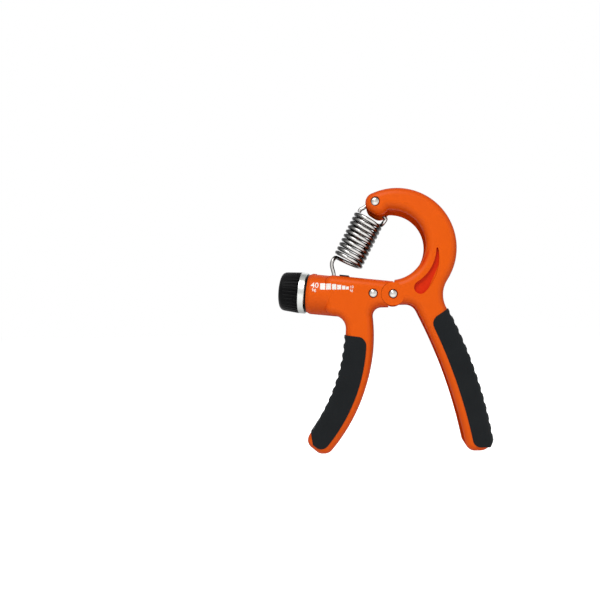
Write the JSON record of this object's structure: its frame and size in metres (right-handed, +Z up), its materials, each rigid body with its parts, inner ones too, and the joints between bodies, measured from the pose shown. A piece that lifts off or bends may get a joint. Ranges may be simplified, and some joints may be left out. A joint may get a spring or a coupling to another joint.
{
  "type": "hand grip strengthener",
  "caption": "Adjustable hand grip strengthener: two hinged handles with rubber grips, a tension spring, and a screw slider in a barrel with a knob.",
  "frame": {"origin": "middle of the footprint, on the ground plane on which the two handle tips stand", "axes": "+Z up from the handle tips to the hook, +X from the barrel's knob towards the hook's side, +Y from the face with the load scale to the plain face"},
  "size_m": [0.1067, 0.022, 0.1324],
  "materials": {
    "orange_plastic": "satin moulded",
    "grip_rubber": "matt",
    "rivet_chrome": "polished",
    "spring_steel": "nickel plated",
    "screw_steel": "zinc plated",
    "slider_plastic": "moulded",
    "nut_brass": "turned",
    "black_plastic": "moulded",
    "ring_metal": "satin"
  },
  "bodies": {
    "barrel_handle": {"barrel_handle_body": "orange_plastic", "barrel_handle_grip": "grip_rubber", "hinge_rivet_post": "rivet_chrome", "hinge_rivet_cap": "rivet_chrome", "keeper_rivet_post": "rivet_chrome", "keeper_rivet_cap": "rivet_chrome", "barrel_end_bush": "black_plastic"},
    "hook_handle": {"hook_handle_body": "orange_plastic", "hook_handle_grip": "grip_rubber", "anchor_rivet_post": "rivet_chrome", "anchor_rivet_cap": "rivet_chrome"},
    "knob_and_screw": {"knob": "black_plastic", "knob_ring": "ring_metal", "knob_nut": "screw_steel", "knob_cap": "black_plastic", "lead_screw": "screw_steel", "thrust_washer": "screw_steel"},
    "slider": {"slider": "slider_plastic", "slider_nut": "nut_brass", "spring_hook_pin": "screw_steel"},
    "spring": {"tension_spring": "spring_steel"}
  },
  "joints": [
    {"name": "squeeze", "type": "hinge", "parent": "barrel_handle", "child": "hook_handle", "pos_m": [0.00468, 0, 0.0792], "axis": [0, 1, 0], "range_deg": [0, 38], "stiffness_Nm_per_rad": 15, "springref_deg": -14.32, "deforming": ["tension_spring"]},
    {"name": "knob_turn", "type": "hinge", "parent": "barrel_handle", "child": "knob_and_screw", "pos_m": [0.00468, 0, 0.0758], "axis": [-0.9936, 0, 0.1132], "range_deg": [-1170, 990]},
    {"name": "slider_travel", "type": "slide", "parent": "barrel_handle", "child": "slider", "axis": [-0.9936, 0, 0.1132], "range_m": [-0.0056, 0.0066]},
    {"name": "spring_swing", "type": "hinge", "parent": "hook_handle", "child": "spring", "pos_m": [-0.0033, 0, 0.1252], "axis": [0, 1, 0], "range_deg": [-11, 1]}
  ],
  "couplings": [
    {"joint": "slider_travel", "follows": "knob_turn", "m_per_rad": -0.00031831},
    {"joint": "spring_swing", "follows": "squeeze", "ratio": -0.2789}
  ]
}
